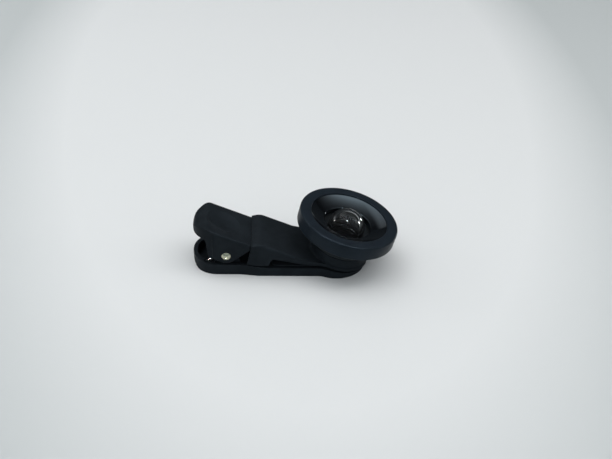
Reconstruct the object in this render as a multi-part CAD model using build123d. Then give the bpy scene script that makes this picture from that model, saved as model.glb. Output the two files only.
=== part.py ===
from build123d import *
import os
from math import ceil, cos, pi, radians, sin, sqrt, tan

# Clip-on phone lens. Millimetres. The clip lies on its lower arm, +Z up,
# +X from the pivot towards the lens, Y along the pivot pin. Everything is
# drawn with the pin above x = 0 and moved at the end, so that the origin is
# the middle of the footprint, on the surface that the clip lies on.

# Clip: pivot and widths
PIN_HEIGHT = 8.7
PIN_RADIUS = 1.25
PIN_RUNNING_GAP = 0.05
PIN_HEAD_RADIUS = 1.75
PIN_HEAD_RISE = 0.8
THUMB_WIDTH = 19.2
JAW_WIDTH = 20.8
EAR_WALL = 1.7
EAR_SIDE_GAP = 0.3
UPPER_EAR_RADIUS = 3.8
LOWER_EAR_RADIUS = 3.3
EDGE_ROUNDING = 1.1

# Clip: pin ends
PIN_END_GAP = 0.15
NUT_RADIUS = 2.2
NUT_BORE_GAP = 0.02
NUT_SIDE = 0.9
NUT_RISE = 0.5
PIN_TAIL = 0.8

# Clip: lower arm
LOWER_FLOOR = 1.4
LOWER_WALL = 1.6
LOWER_WIDTH = 19.0
LOWER_THUMB_REACH = 12.7
LOWER_THUMB_HEIGHT = 5.2
LOWER_THUMB_END = -8.5
LOWER_SIDE_HEIGHT = 4.5
TRAY_RIGHT = 8.0
FLARE_LEFT = 5.0
FLARE_RIGHT = 12.0
HEEL_HEIGHT = 4.2
SHANK_START = 16.0
SHANK_HEIGHT = 3.7
LOWER_END_X = 41.4
LOWER_END_MARGIN = 0.1
LOWER_BLEND = 6.0
LOWER_THUMB_END_FLAT = 0.5
LOWER_THUMB_CORNER = LOWER_WIDTH / 2 - LOWER_THUMB_END_FLAT
LOWER_BEND_RADIUS = 3.2
LOWER_EAR_FEET = (-4.5, 6.0)
LOWER_EAR_FOOT_RADIUS = 0.5

# Clip: upper arm, thumb pad
THUMB_REACH = 12.5
THUMB_TOP_SET_BACK = 5.0
THUMB_ROOT_HEIGHT = 13.65
THUMB_SLOPE = 23.4
THUMB_TOP_RADIUS = 4.0
THUMB_LIP_DROP = 2.1
LIP_TOP_RADIUS = 2.8
THUMB_LIP_FACE = 3.0
THUMB_LIP_WALL = 2.2
NOSE_INNER_RISE = 1.6
NOSE_RADIUS = 0.9
NECK_RADIUS = 1.5
EAR_HEEL_REACH = 6.7
EAR_HEEL_RADIUS = 1.5
EAR_HEEL_ANGLE = -116.0
EAR_NECK_REACH = 7.7
EAR_FRONT_ANGLE = -52.0
THUMB_END_FLAT = 0.4
THUMB_CORNER = THUMB_WIDTH / 2 - THUMB_END_FLAT
THUMB_HOLLOW_END_FLAT = 2.4
THUMB_ROOF = 2.0
DISH_LENGTH = 14.0
DISH_WIDTH = 12.0
DISH_DEPTH = 1.3
DISH_X = -1.2

# Clip: upper arm, jaw
STEP_X = 8.8
STEP_SLOPE = 14.0
JAW_TOP_X = 15.0
JAW_TOP_HEIGHT = 13.5
JAW_TOP_SLOPE = 23.3
JAW_CREST_X = 13.2
CREST_RADIUS = 5.0
JAW_ROOF = 1.5
JAW_WALL = 1.5
SKIRT_LEFT_X = 7.7
SKIRT_TAPER_STEP = 0.1
SKIRT_TAPER_END = 11.5
SKIRT_GAP = 0.35
SKIRT_HEEL_END = 15.8
SKIRT_KNEE_X = 17.0
SKIRT_KNEE_RADIUS = 1.5
HEEL_CORNER_RADIUS = 0.8
SKIRT_DROP = 0.7
SKIRT_END_X = 30.0
SKIRT_RUN_OUT = 3.0
SKIRT_SET_BACK = 0.6
RIB_START_X = 10.5
RIB_WALL = 1.2
RIB_OFFSET = 4.6
JAW_PLATE = 1.3
JAW_ROUNDING = 1.4

# Closing plane, which is square to the lens axis
LENS_TILT = 12.0
TIP_X = 53.3
TIP_HEIGHT = 0.85
LENS_SEAT_X = 42.4

# Pads
PAD_THICKNESS = 0.9
PAD_PROUD = 0.26
PAD_SIDE_GAP = 0.03
JAW_GAP = 0.1
PAD_RING_OUTER = 10.6
PAD_RING_INNER = 8.9
LOWER_PAD_START = 17.0
LOWER_PAD_WIDTH = 17.6
LOWER_PAD_END = 50.1
LOWER_PAD_CORNER = 2.0

# Lens collar on the upper arm and the barrel's spigot in it
RING_END_RADIUS = 11.7
LOWER_END_RADIUS = RING_END_RADIUS + LOWER_END_MARGIN
COLLAR_STEP = 0.5
COLLAR_RADIUS = RING_END_RADIUS - COLLAR_STEP
COLLAR_TOP = 5.5
SPIGOT_RADIUS = 8.0
THREAD_GAP = 0.06
SPIGOT_END = 1.3

# Barrel, outside: heights are above the closing plane
SEAT_GAP = 0.05
BASE_STEP = 0.3
BASE_RADIUS = RING_END_RADIUS - BASE_STEP
BASE_TOP = 8.3
TUBE_RADIUS = 9.9
TUBE_TOP = 12.1

# Rim ring and bowl
RIM_RADIUS = 19.0
RIM_UNDER = 12.0
RIM_TOP = 17.7
RIM_ROUNDING = 0.7
RIM_OPENING = 14.8
HUB_RADIUS = 11.0
FIT_GAP = 0.03
BOWL_DROP = 0.65
DOME_RADIUS = 7.05
BOWL_THICKNESS = 1.3
BOWL_HOLE_GAP = 2.1
BOWL_HOLE = DOME_RADIUS + BOWL_HOLE_GAP
BOWL_DEPTH = 2.2
BOWL_HOLLOW = 0.3

# Front group: radii, then heights above the closing plane
DOME_BORE = 8.9
DOME_SEAT = 9.8
DOME_FLANGE_RADIUS = 8.8
DOME_FLANGE_HEIGHT = 0.8
DOME_CENTRE = 13.0
DOME_BACK_RADIUS = 5.2
DOME_BACK_CENTRE = 12.4
DOME_RING_GAP = 0.15
DOME_RING_INNER = DOME_RADIUS + DOME_RING_GAP
DOME_RING_TOP = 12.0
SEAL_INNER = 7.7
SEAL_HEIGHT = 0.4

# Middle group, in the bore behind the dome
MIDDLE_BORE = 7.5
GLASS_GAP = 0.05
THREAD_FIT = 0.03
SHOULDER_TOP = 6.8
STOP_HEIGHT = 0.3
STOP_HOLE = 2.2
SPACER_INNER = 6.4
SPACER_HEIGHT = 0.9
MIDDLE_LENS_EDGE = 1.4
MIDDLE_LENS_SAG = 0.4
MIDDLE_RING_HEIGHT = 0.5

# Rear group: a cemented pair held from behind
SHOULDER_UNDER = 6.0
SHOULDER_HOLE = 5.9
REAR_BORE = 6.6
REAR_LENS_EDGE = 1.3
REAR_FRONT_SAG = 0.7
REAR_JOINT_SAG = 0.5
REAR_BACK_SAG = 0.2
REAR_RING_HEIGHT = 1.1
REAR_RING_INNER = 5.2
RING_SLOT_WIDTH = 1.2
RING_SLOT_DEPTH = 0.6

# Torsion spring
WIRE_RADIUS = 0.45
COIL_RADIUS = 2.4
COIL_PITCH = 1.4
COIL_START_ANGLE = -65.2
COIL_END_ANGLE = 47.0
COIL_FULL_TURNS = 5
LOWER_LEG_SET_BACK = 2.5
LOWER_LEG_LENGTH = LOWER_THUMB_REACH - LOWER_LEG_SET_BACK
UPPER_LEG_SET_BACK = 3.5
UPPER_LEG_LENGTH = THUMB_REACH - UPPER_LEG_SET_BACK

TILT = radians(LENS_TILT)
SEAT_HEIGHT = TIP_HEIGHT + (TIP_X - LENS_SEAT_X) * tan(TILT)
LENS_PLANE = Plane(
    origin=(LENS_SEAT_X, 0, SEAT_HEIGHT),
    x_dir=(cos(TILT), 0, -sin(TILT)),
    z_dir=(sin(TILT), 0, cos(TILT)),
)
IN_LENS_FRAME = LENS_PLANE.location
PLATE_TOP = PAD_PROUD + JAW_PLATE
THUMB_HALF = THUMB_WIDTH / 2
THUMB_TOP_X = THUMB_TOP_SET_BACK - THUMB_REACH
THUMB_TOP_HEIGHT = THUMB_ROOT_HEIGHT + (STEP_X - THUMB_TOP_X) * tan(radians(THUMB_SLOPE))
THUMB_LIP_TOP = THUMB_TOP_HEIGHT - THUMB_LIP_DROP
THUMB_LIP_HEIGHT = THUMB_LIP_TOP - THUMB_LIP_FACE
JAW_HALF = JAW_WIDTH / 2
UPPER_EAR_INSIDE = THUMB_HALF - EAR_WALL
LOWER_EAR_OUTSIDE = UPPER_EAR_INSIDE - EAR_SIDE_GAP
BELOW = -5.0


# Shapes used by several pieces

def closing_height(x, above=0.0):
    """Height at x of the plane that lies `above` the closing plane."""
    return SEAT_HEIGHT + (LENS_SEAT_X - x) * tan(TILT) + above / cos(TILT)


def outline(points):
    """A closed outline through points, drawn flat."""
    return make_face(Polyline(points, close=True))


def side_face(points):
    """A closed face in the XZ plane, through (x, z) points."""
    return Plane.XZ * outline(points)


def side_hull(discs):
    """Side view stretched round several discs, given as (x, z, radius)."""
    rims = [(Pos(x, z) * Circle(r)).edge() for x, z, r in discs]
    return Plane.XZ * make_hull(rims)


def across(face, width):
    """The face extruded to both sides of the middle plane."""
    return extrude(face, amount=width / 2, dir=(0, 1, 0), both=True)


def both_sides(face, inside, outside):
    """The face extruded as a pair of walls, between two distances."""
    wall = Pos(0, inside, 0) * extrude(face, amount=outside - inside, dir=(0, 1, 0))
    return wall + mirror(wall, Plane.XZ)


def standing(plan, height=40.0):
    """A plan outline extruded upwards, from below the clip."""
    return Pos(0, 0, BELOW) * extrude(plan, amount=height)


def turned(points):
    """A solid of revolution about Z, from (radius, height) points."""
    return revolve(side_face(points), Axis.Z)


def ring(outer, inner, low, high):
    """A plain ring about Z."""
    return turned([(inner, low), (outer, low), (outer, high), (inner, high)])


def cap_arc(radius, edge_height, sag):
    """Half of a lens surface: an arc from the axis to the edge."""
    ball = (radius**2 + sag**2) / (2 * abs(sag))
    rise = sqrt(ball**2 - radius**2 / 4) - (ball - abs(sag))
    middle = edge_height + (rise if sag > 0 else -rise)
    return ThreePointArc((0, edge_height + sag), (radius / 2, middle), (radius, edge_height))


def quarter_arc(radius, centre_height):
    """A quarter circle from the axis to the widest place of a half ball."""
    middle = (radius * sin(pi / 4), centre_height + radius * cos(pi / 4))
    return ThreePointArc((0, centre_height + radius), middle, (radius, centre_height))


def lens_element(radius, low, edge, front_sag, back_sag):
    """A lens with spherical faces, whose sag is the rise of its middle."""
    front = cap_arc(radius, low + edge, front_sag)
    back = cap_arc(radius, low, back_sag)
    rim = Line((radius, low), (radius, low + edge))
    axis = Line((0, low + back_sag), (0, low + edge + front_sag))
    return revolve(Plane.XZ * make_face(axis + front + rim + back), Axis.Z)


def thumb_plan(width, reach, right, corner):
    """Plan of a thumb pad: straight sides and a rounded end on the left."""
    plan = Pos((right - reach) / 2, 0) * Rectangle(right + reach, width)
    return fillet(plan.vertices().sort_by(Axis.X)[:2], corner)


def edges_on_side(solid, half_width):
    """The edges that lie in the solid's two flat sides."""
    flat = []
    for edge in solid.edges():
        heights = [abs(abs((edge @ t).Y) - half_width) for t in (0, 0.5, 1)]
        if max(heights) < 0.001:
            flat.append(edge)
    return flat


# Upper arm

def thumb_top(x):
    """Height of the thumb pad's top at x."""
    return THUMB_ROOT_HEIGHT + (STEP_X - x) * tan(radians(THUMB_SLOPE))


def thumb_roof(x):
    """Height of the underside of the thumb pad's roof at x."""
    return thumb_top(x) - THUMB_ROOF / cos(radians(THUMB_SLOPE))


def jaw_top(x):
    """Height of the jaw's sloping top at x."""
    return JAW_TOP_HEIGHT - (x - JAW_TOP_X) * tan(radians(JAW_TOP_SLOPE))


def jaw_roof(x):
    """Height of the underside of the jaw's roof at x."""
    return jaw_top(x) - JAW_ROOF / cos(radians(JAW_TOP_SLOPE))


def slopes_meet(first, second):
    """The x at which two straight height functions are equal."""
    gap = first(0.0) - second(0.0)
    return gap / (gap - (first(1.0) - second(1.0)))


def plate_top(x):
    """Height of the jaw plate's top at x."""
    return closing_height(x, PLATE_TOP)


def plate_under(x):
    """Height of the jaw plate's underside at x."""
    return closing_height(x, PAD_PROUD)


def step_face(x):
    """Height of the ramp between thumb pad and jaw at x."""
    return thumb_top(STEP_X) + (x - STEP_X) * tan(radians(STEP_SLOPE))


def ear_line_height(x, angle):
    """Height at x of the line that touches the ear's round end at an angle."""
    return PIN_HEIGHT + (UPPER_EAR_RADIUS - x * cos(radians(angle))) / sin(radians(angle))


def thumb_profile():
    """Side view of the thumb pad with its drooping nose and the ears."""
    middle = radians((EAR_FRONT_ANGLE + EAR_HEEL_ANGLE) / 2)
    half = radians((EAR_FRONT_ANGLE - EAR_HEEL_ANGLE) / 2)
    reach = UPPER_EAR_RADIUS / cos(half)
    bottom = (reach * cos(middle), PIN_HEIGHT + reach * sin(middle))
    front_x = STEP_X + SKIRT_SET_BACK
    corners = [
        ((THUMB_TOP_X, thumb_top(THUMB_TOP_X)), THUMB_TOP_RADIUS),
        ((-THUMB_REACH, THUMB_LIP_TOP), LIP_TOP_RADIUS),
        ((-THUMB_REACH, THUMB_LIP_HEIGHT), NOSE_RADIUS),
        ((-EAR_NECK_REACH, THUMB_LIP_HEIGHT), NECK_RADIUS),
        ((-EAR_HEEL_REACH, ear_line_height(-EAR_HEEL_REACH, EAR_HEEL_ANGLE)), EAR_HEEL_RADIUS),
        (bottom, UPPER_EAR_RADIUS),
    ]
    front = (front_x, ear_line_height(front_x, EAR_FRONT_ANGLE))
    side = outline([point for point, radius in corners] + [front, (front_x, thumb_top(front_x))])
    for point, radius in corners:
        nearest = side.vertices().sort_by_distance((*point, 0))[0]
        side = fillet(nearest, radius)
    return Plane.XZ * side


def thumb_solid():
    """The thumb pad with its ears, before it is hollowed."""
    block = across(thumb_profile(), THUMB_WIDTH)
    block = fillet(edges_on_side(block, THUMB_HALF), EDGE_ROUNDING)
    plan = thumb_plan(THUMB_WIDTH, THUMB_REACH, JAW_CREST_X, THUMB_CORNER)
    return block & standing(plan)


def thumb_hollow():
    """The space between the ears, under the thumb pad."""
    inner_end = -THUMB_REACH + THUMB_LIP_WALL
    face = side_face([
        (inner_end, BELOW),
        (inner_end, THUMB_LIP_HEIGHT + NOSE_INNER_RISE),
        (THUMB_TOP_X - 1.0, thumb_roof(THUMB_TOP_X - 1.0)),
        (STEP_X, thumb_roof(STEP_X)),
        (STEP_X, BELOW),
    ])
    corner = UPPER_EAR_INSIDE - THUMB_HOLLOW_END_FLAT
    plan = thumb_plan(2 * UPPER_EAR_INSIDE, -inner_end, JAW_CREST_X, corner)
    return across(face, 2 * UPPER_EAR_INSIDE) & standing(plan)


def jaw_solid():
    """The jaw with its side skirts, before it is hollowed."""
    crest_x = slopes_meet(step_face, jaw_top)
    bend_x = slopes_meet(jaw_top, plate_top)
    end_x = LENS_SEAT_X
    heel_height = LOWER_SIDE_HEIGHT + SKIRT_GAP
    heel = (SKIRT_HEEL_END, heel_height)
    knee = (SKIRT_KNEE_X, plate_under(SKIRT_KNEE_X) - SKIRT_DROP)
    side = outline([
        (STEP_X + SKIRT_SET_BACK, step_face(STEP_X + SKIRT_SET_BACK)),
        (crest_x, jaw_top(crest_x)),
        (bend_x, plate_top(bend_x)),
        (end_x, plate_top(end_x)),
        (end_x, plate_under(end_x)),
        (SKIRT_END_X + SKIRT_RUN_OUT, plate_under(SKIRT_END_X + SKIRT_RUN_OUT)),
        (SKIRT_END_X, plate_under(SKIRT_END_X) - SKIRT_DROP),
        knee,
        heel,
        (SKIRT_LEFT_X, heel_height),
    ])
    for point, radius in (
        ((crest_x, jaw_top(crest_x)), CREST_RADIUS),
        (knee, SKIRT_KNEE_RADIUS),
        (heel, HEEL_CORNER_RADIUS),
    ):
        nearest = side.vertices().sort_by_distance((*point, 0))[0]
        side = fillet(nearest, radius)
    block = across(Plane.XZ * side, JAW_WIDTH)
    upper = [e for e in edges_on_side(block, JAW_HALF) if (e @ 0.5).Z > plate_top((e @ 0.5).X) + 0.5]
    block = fillet([e for e in upper if abs((e % 0.5).X) > 0.5], JAW_ROUNDING)
    left_half = THUMB_HALF + SKIRT_TAPER_STEP
    plan = outline([
        (SKIRT_LEFT_X, -left_half),
        (SKIRT_TAPER_END, -JAW_HALF),
        (end_x, -JAW_HALF),
        (end_x, JAW_HALF),
        (SKIRT_TAPER_END, JAW_HALF),
        (SKIRT_LEFT_X, left_half),
    ])
    return block & standing(plan)


def jaw_hollow():
    """The space under the jaw's roof, open downwards."""
    end_x = slopes_meet(jaw_roof, plate_under)
    left = STEP_X - 1.0
    face = side_face([
        (left, BELOW),
        (left, thumb_roof(left)),
        (STEP_X, thumb_roof(STEP_X)),
        (JAW_CREST_X, jaw_roof(JAW_CREST_X)),
        (end_x, plate_under(end_x)),
        (SKIRT_END_X + SKIRT_RUN_OUT, plate_under(SKIRT_END_X + SKIRT_RUN_OUT)),
        (SKIRT_END_X + SKIRT_RUN_OUT, BELOW),
    ])
    return across(face, 2 * (JAW_HALF - JAW_WALL))


def jaw_ribs():
    """Two long ribs under the jaw's roof."""
    end_x = slopes_meet(jaw_roof, plate_under)
    rib = side_face([
        (RIB_START_X, plate_under(RIB_START_X)),
        (RIB_START_X, jaw_roof(JAW_CREST_X)),
        (JAW_CREST_X, jaw_roof(JAW_CREST_X) + JAW_ROOF / 2),
        (end_x, plate_under(end_x) + JAW_ROOF / 2),
        (end_x, plate_under(end_x)),
    ])
    return both_sides(rib, RIB_OFFSET - RIB_WALL / 2, RIB_OFFSET + RIB_WALL / 2)


def thumb_dish():
    """The oval hollow for the thumb, as the barrel shape that cuts it."""
    cross_radius = (DISH_WIDTH**2 / 4 + DISH_DEPTH**2) / (2 * DISH_DEPTH)
    long_radius = (DISH_LENGTH**2 / 4 + DISH_DEPTH**2) / (2 * DISH_DEPTH)
    half = DISH_LENGTH / 2 + 1.0
    end_height = long_radius - sqrt(long_radius**2 - half**2) - DISH_DEPTH
    axis_height = cross_radius - DISH_DEPTH
    start = (-half, end_height)
    end = (half, end_height)
    curve = ThreePointArc(start, (0, -DISH_DEPTH), end)
    sides = Polyline(end, (half, axis_height), (-half, axis_height), start)
    face = Plane.XZ * make_face(curve + sides)
    barrel = revolve(face, Axis((0, 0, axis_height), (1, 0, 0)))
    slope = radians(THUMB_SLOPE)
    seat = Plane(
        origin=(DISH_X, 0, thumb_top(DISH_X)),
        x_dir=(cos(slope), 0, -sin(slope)),
        z_dir=(sin(slope), 0, cos(slope)),
    )
    return seat.location * barrel


def make_upper_arm():
    """Thumb pad, ears, skirted jaw, end ring and threaded collar, in one moulding."""
    body = thumb_solid() - thumb_hollow()
    body = body + (jaw_solid() - jaw_hollow() - thumb_hollow())
    body = body + jaw_ribs()
    bore = SPIGOT_RADIUS + THREAD_GAP
    collar = turned([
        (bore, PAD_PROUD),
        (RING_END_RADIUS - 0.3, PAD_PROUD),
        (RING_END_RADIUS, PAD_PROUD + 0.3),
        (RING_END_RADIUS, PLATE_TOP - 0.2),
        (COLLAR_RADIUS, PLATE_TOP + 0.4),
        (COLLAR_RADIUS, COLLAR_TOP - 0.3),
        (COLLAR_RADIUS - 0.3, COLLAR_TOP),
        (bore, COLLAR_TOP),
    ])
    through = ring(COLLAR_RADIUS - 0.6, 0, COLLAR_TOP, RIM_TOP)
    through = through + ring(bore, 0, -2, RIM_TOP)
    pad_seat = ring(PAD_RING_OUTER + PAD_SIDE_GAP, PAD_RING_INNER - PAD_SIDE_GAP, -1, PAD_THICKNESS)
    body = body + IN_LENS_FRAME * collar
    body = body - IN_LENS_FRAME * through - IN_LENS_FRAME * pad_seat
    pin_hole = Plane.XZ * Pos(0, PIN_HEIGHT) * Circle(PIN_RADIUS + PIN_RUNNING_GAP)
    return body - across(pin_hole, THUMB_WIDTH + 2) - thumb_dish()


# Lower arm

def hard_nose(x):
    """Height of the lower jaw's sloping hard top at x."""
    return closing_height(x, -(JAW_GAP + PAD_PROUD))


def lower_top(drop, left, right):
    """The lower jaw's top line as (x, z) points, lowered by a distance square to it."""
    bend_x = slopes_meet(hard_nose, lambda x: SHANK_HEIGHT)
    bend_x = bend_x - drop * tan(TILT / 2)
    slope_end = hard_nose(right) - drop / cos(TILT)
    return [(left, SHANK_HEIGHT - drop), (bend_x, SHANK_HEIGHT - drop), (right, slope_end)]


def lower_plan():
    """Plan of the lower arm: thumb end, flare, shank and round jaw end."""
    jaw = Pos((FLARE_RIGHT + LOWER_END_X) / 2, 0) * Rectangle(LOWER_END_X - FLARE_RIGHT, JAW_WIDTH)
    jaw = jaw + Pos(LOWER_END_X, 0) * Circle(LOWER_END_RADIUS)
    shoulder = [v for v in jaw.vertices() if FLARE_RIGHT + 1 < v.X < LOWER_END_X]
    jaw = fillet(shoulder, LOWER_BLEND)
    flare = outline([
        (FLARE_LEFT, -LOWER_WIDTH / 2),
        (FLARE_RIGHT, -JAW_HALF),
        (FLARE_RIGHT, JAW_HALF),
        (FLARE_LEFT, LOWER_WIDTH / 2),
    ])
    thumb = thumb_plan(LOWER_WIDTH, LOWER_THUMB_REACH, FLARE_LEFT, LOWER_THUMB_CORNER)
    return thumb + flare + jaw


def lower_pad_plan(gap):
    """Plan of the lower jaw pad, grown by a gap all round."""
    radius = LOWER_PAD_WIDTH / 2
    centre_x = LOWER_PAD_END - radius
    length = centre_x - LOWER_PAD_START + gap
    shank = Pos(centre_x - length / 2, 0) * Rectangle(length, LOWER_PAD_WIDTH + 2 * gap)
    shank = fillet(shank.vertices().sort_by(Axis.X)[:2], LOWER_PAD_CORNER)
    return shank + Pos(centre_x, 0) * Circle(radius + gap)


def pad_sheet(top, under, gap):
    """The part of the lower jaw between two depths below its hard top."""
    left = LOWER_PAD_START - 1.0
    right = LOWER_PAD_END + 1.0
    points = lower_top(top, left, right) + lower_top(under, left, right)[::-1]
    return across(side_face(points), JAW_WIDTH) & standing(lower_pad_plan(gap))


def make_lower_arm():
    """The table-side moulding: thumb tray, two inner ears and a flat jaw with a wedge nose."""
    side = outline([
        (-LOWER_THUMB_REACH, 0),
        (-LOWER_THUMB_REACH, LOWER_THUMB_HEIGHT),
        (LOWER_THUMB_END, LOWER_THUMB_HEIGHT),
        (LOWER_THUMB_END + 0.7, LOWER_SIDE_HEIGHT),
        (TRAY_RIGHT, LOWER_SIDE_HEIGHT),
        (FLARE_RIGHT, HEEL_HEIGHT),
    ] + lower_top(0, SHANK_START, LOWER_END_X + LOWER_END_RADIUS + 1) + [
        (LOWER_END_X + LOWER_END_RADIUS + 1, 0),
    ])
    corner = side.vertices().sort_by_distance((-LOWER_THUMB_REACH, 0, 0))[0]
    side = Plane.XZ * fillet(corner, LOWER_BEND_RADIUS)
    body = across(side, 2 * (JAW_WIDTH + LOWER_END_RADIUS)) & standing(lower_plan())
    tray_reach = LOWER_THUMB_REACH - LOWER_WALL
    tray = thumb_plan(LOWER_WIDTH - 2 * LOWER_WALL, tray_reach, TRAY_RIGHT, LOWER_THUMB_CORNER - LOWER_WALL)
    body = body - Pos(0, 0, LOWER_FLOOR) * extrude(tray, amount=LOWER_THUMB_HEIGHT)
    feet = [(x, LOWER_FLOOR + LOWER_EAR_FOOT_RADIUS - 0.2, LOWER_EAR_FOOT_RADIUS) for x in LOWER_EAR_FEET]
    ears = side_hull([(0, PIN_HEIGHT, LOWER_EAR_RADIUS)] + feet)
    ears = both_sides(ears, LOWER_EAR_OUTSIDE - EAR_WALL, LOWER_EAR_OUTSIDE)
    body = body + ears
    pin_hole = Plane.XZ * Pos(0, PIN_HEIGHT) * Circle(PIN_RADIUS)
    body = body - across(pin_hole, JAW_WIDTH)
    return body - pad_sheet(-1.0, PAD_THICKNESS - PAD_PROUD, PAD_SIDE_GAP)


def make_lower_jaw_pad():
    """Soft pad in the lower jaw, bent where the nose begins to slope."""
    return pad_sheet(-PAD_PROUD, PAD_THICKNESS - PAD_PROUD, 0.0)


def make_upper_jaw_pad():
    """Soft ring under the upper jaw, round the lens opening."""
    return IN_LENS_FRAME * ring(PAD_RING_OUTER, PAD_RING_INNER, 0, PAD_THICKNESS)


# Pin, push nut and spring

def about_pin(points):
    """A solid of revolution about the pin, from (radius, y) points."""
    return Pos(0, 0, PIN_HEIGHT) * revolve(outline(points), Axis.Y)


def dome_tip(radius, base_y, rise):
    """A shallow dome about the pin, from y = base_y outwards."""
    ball = (radius**2 + rise**2) / (2 * abs(rise))
    middle = sqrt(ball**2 - radius**2 / 4) - (ball - abs(rise))
    middle_y = base_y + (middle if rise > 0 else -middle)
    curve = ThreePointArc((radius, base_y), (radius / 2, middle_y), (0, base_y + rise))
    rest = Polyline((0, base_y + rise), (0, base_y), (radius, base_y))
    return Pos(0, 0, PIN_HEIGHT) * revolve(make_face(curve + rest), Axis.Y)


def make_pivot_pin():
    """The pivot pin, with its domed head towards -Y."""
    head_y = -(THUMB_HALF + PIN_END_GAP)
    tail_y = THUMB_HALF + PIN_END_GAP + PIN_TAIL
    shank = about_pin([(0, head_y), (PIN_RADIUS, head_y), (PIN_RADIUS, tail_y - 0.3),
                       (PIN_RADIUS - 0.3, tail_y), (0, tail_y)])
    return shank + dome_tip(PIN_HEAD_RADIUS, head_y, -PIN_HEAD_RISE)


def make_pin_push_nut():
    """The domed push nut on the pin's tail."""
    seat_y = THUMB_HALF + PIN_END_GAP
    bore = PIN_RADIUS + NUT_BORE_GAP
    cup = about_pin([(0, seat_y), (NUT_RADIUS, seat_y), (NUT_RADIUS, seat_y + NUT_SIDE), (0, seat_y + NUT_SIDE)])
    cup = cup + dome_tip(NUT_RADIUS, seat_y + NUT_SIDE, NUT_RISE)
    hole_end = seat_y + PIN_TAIL + NUT_BORE_GAP
    return cup - about_pin([(0, seat_y - 1), (bore, seat_y - 1), (bore, hole_end), (0, hole_end)])


def coil_point(angle, start, end):
    """A point of the coil at an angle in degrees."""
    y = (angle - (start + end) / 2) / 360 * COIL_PITCH
    return Vector(COIL_RADIUS * cos(radians(angle)), y, PIN_HEIGHT + COIL_RADIUS * sin(radians(angle)))


def coil_tangent(angle):
    """The direction of the coil at an angle in degrees."""
    climb = COIL_PITCH / (2 * pi * COIL_RADIUS)
    return Vector(-sin(radians(angle)), climb, cos(radians(angle))).normalized()


def biarc(start, start_tangent, end, end_tangent):
    """Two arcs from start to end that keep both tangents."""
    chord = end - start
    tangents = start_tangent + end_tangent
    square = 2 * (1 - start_tangent.dot(end_tangent))
    along = chord.dot(tangents)
    reach = (-along + sqrt(along**2 + square * chord.dot(chord))) / square
    joint = (start + start_tangent * reach + end - end_tangent * reach) * 0.5
    first = Edge.make_tangent_arc(start, start_tangent, joint)
    second = Edge.make_tangent_arc(joint, first % 1, end)
    return [first, second]


def spring_path():
    """The spring's centre line: a straight leg, the coil and a straight leg."""
    start = COIL_START_ANGLE
    end = COIL_END_ANGLE + 360 * COIL_FULL_TURNS
    spans = ceil((end - start) / 90)
    angles = [start + (end - start) * i / spans for i in range(spans + 1)]
    first = coil_point(start, start, end)
    last = coil_point(end, start, end)
    edges = [Edge.make_line(first - coil_tangent(start) * LOWER_LEG_LENGTH, first)]
    for a, b in zip(angles, angles[1:]):
        edges += biarc(coil_point(a, start, end), coil_tangent(a), coil_point(b, start, end), coil_tangent(b))
    edges.append(Edge.make_line(last, last + coil_tangent(end) * UPPER_LEG_LENGTH))
    return edges


def least_wire_gap(edges):
    """The smallest distance between wire surfaces, measured on points of the centre line."""
    points = []
    travelled = 0.0
    for edge in edges:
        count = max(2, int(edge.length / 0.2))
        for i in range(count):
            points.append((edge @ (i / count), travelled + edge.length * i / count))
        travelled += edge.length
    least = 1000.0
    for i, (first, from_start) in enumerate(points):
        for second, further in points[i + 1:]:
            if further - from_start > pi * COIL_RADIUS:
                least = min(least, (second - first).length)
    return least - 2 * WIRE_RADIUS


def make_torsion_spring():
    """The torsion spring round the pin, one unbroken wire."""
    edges = spring_path()
    print("least gap between turns of the spring", round(least_wire_gap(edges), 3))
    start = edges[0] @ 0
    section = Plane(origin=start, z_dir=edges[0] % 0) * Circle(WIRE_RADIUS)
    return sweep(section, path=Wire(edges))


# Lens, drawn upright and set into the lens frame

def make_lens_barrel():
    """Spigot, base flange and tube, with the stepped bore for the glass."""
    base = COLLAR_TOP + SEAT_GAP
    return turned([
        (SPIGOT_RADIUS - 0.2, SPIGOT_END),
        (SPIGOT_RADIUS, SPIGOT_END + 0.2),
        (SPIGOT_RADIUS, base),
        (BASE_RADIUS, base),
        (BASE_RADIUS, BASE_TOP),
        (TUBE_RADIUS, BASE_TOP),
        (TUBE_RADIUS, TUBE_TOP),
        (DOME_BORE, TUBE_TOP),
        (DOME_BORE, DOME_SEAT),
        (MIDDLE_BORE, DOME_SEAT),
        (MIDDLE_BORE, SHOULDER_TOP),
        (SHOULDER_HOLE, SHOULDER_TOP),
        (SHOULDER_HOLE, SHOULDER_UNDER),
        (REAR_BORE, SHOULDER_UNDER),
        (REAR_BORE, SPIGOT_END + 0.2),
        (REAR_BORE + 0.2, SPIGOT_END),
    ])


def bowl_line(radius):
    """Height at a radius of the straight line between the bowl's visible edges."""
    outer = RIM_OPENING - FIT_GAP
    return RIM_TOP - BOWL_DROP - BOWL_DEPTH * (outer - radius) / (outer - BOWL_HOLE)


def make_rim_ring():
    """The wide front ring: outer wall, rounded lip, cone seat and hub on the tube."""
    bore = TUBE_RADIUS + FIT_GAP
    seat = bowl_line(RIM_OPENING - FIT_GAP) - BOWL_THICKNESS
    turn = turned([
        (bore, BASE_TOP),
        (HUB_RADIUS, BASE_TOP),
        (HUB_RADIUS, RIM_UNDER),
        (RIM_RADIUS, RIM_UNDER),
        (RIM_RADIUS, RIM_TOP),
        (RIM_OPENING, RIM_TOP),
        (RIM_OPENING, seat),
        (bore, bowl_line(bore) - BOWL_THICKNESS),
    ])
    rims = turn.edges().filter_by(GeomType.CIRCLE)
    outer = [e for e in rims if abs(e.radius - RIM_RADIUS) < 0.01]
    return fillet(outer, RIM_ROUNDING)


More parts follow.
